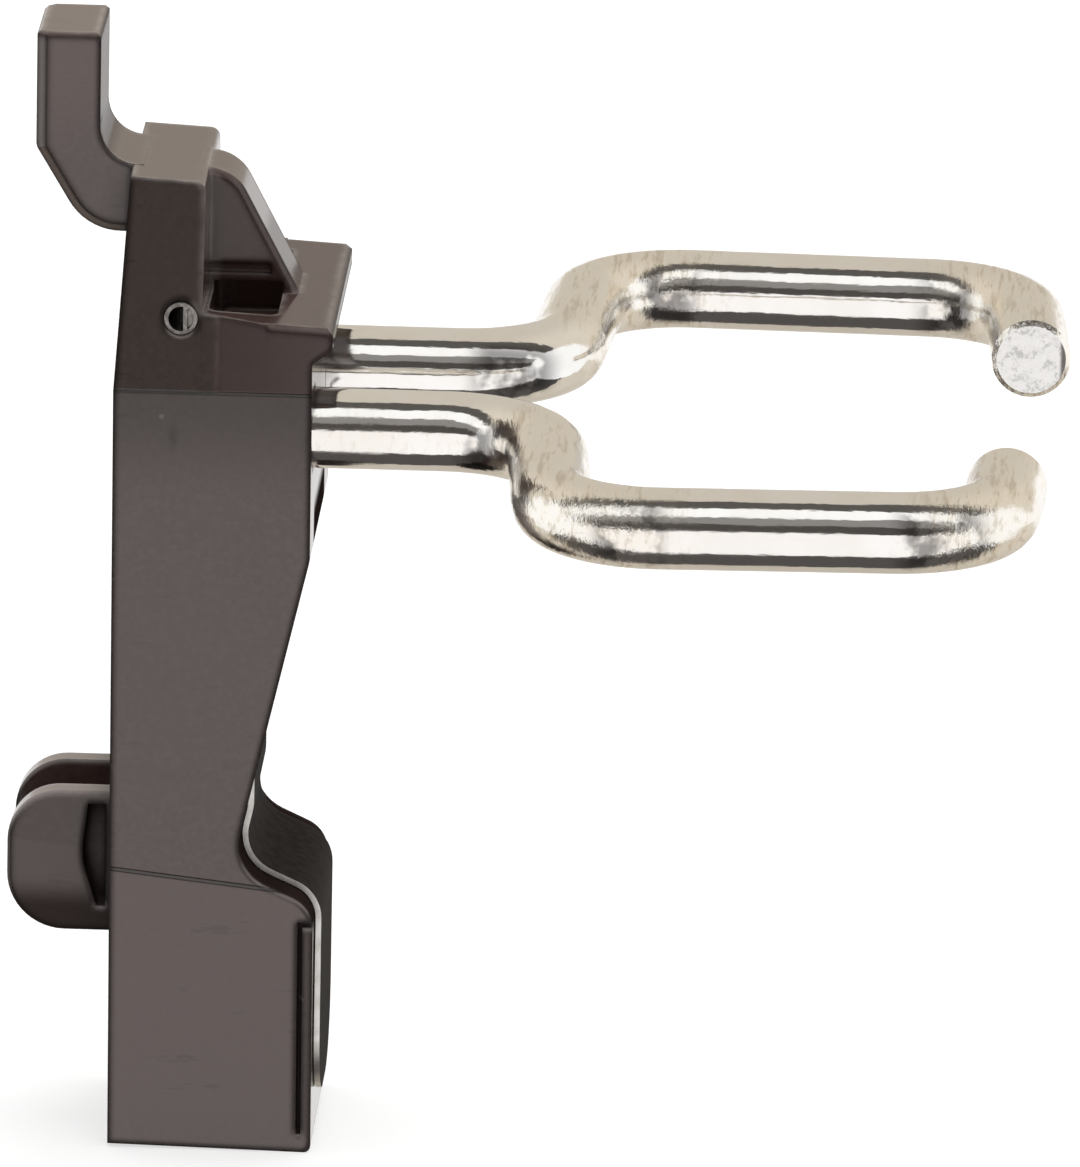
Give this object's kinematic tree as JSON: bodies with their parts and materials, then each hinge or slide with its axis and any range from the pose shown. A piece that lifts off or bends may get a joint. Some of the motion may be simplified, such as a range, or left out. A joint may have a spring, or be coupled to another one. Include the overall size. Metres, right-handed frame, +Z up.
{
  "type": "perforated panel tool hook",
  "caption": "Dark moulded hook body that clips into a perforated sheet panel and carries two bent round steel rods forming an open fork, with a bent spring tongue low on its front.",
  "frame": {"origin": "centre of the body's flat back, which rests on the face of the panel", "axes": "+X away from the panel along the rods, +Z up, +Y towards the left rod"},
  "size_m": [0.0525, 0.0516, 0.0566],
  "materials": {
    "body": "fine satin, dark brown-grey",
    "rods": "bright zinc plating",
    "pin": "bright steel",
    "tongue": "dark spring steel with bright cut edges"
  },
  "bodies": {
    "root": {"body": "body", "rod_left": "rods", "rod_right": "rods", "cross_pin": "pin", "spring_tongue": "tongue"}
  },
  "joints": []
}
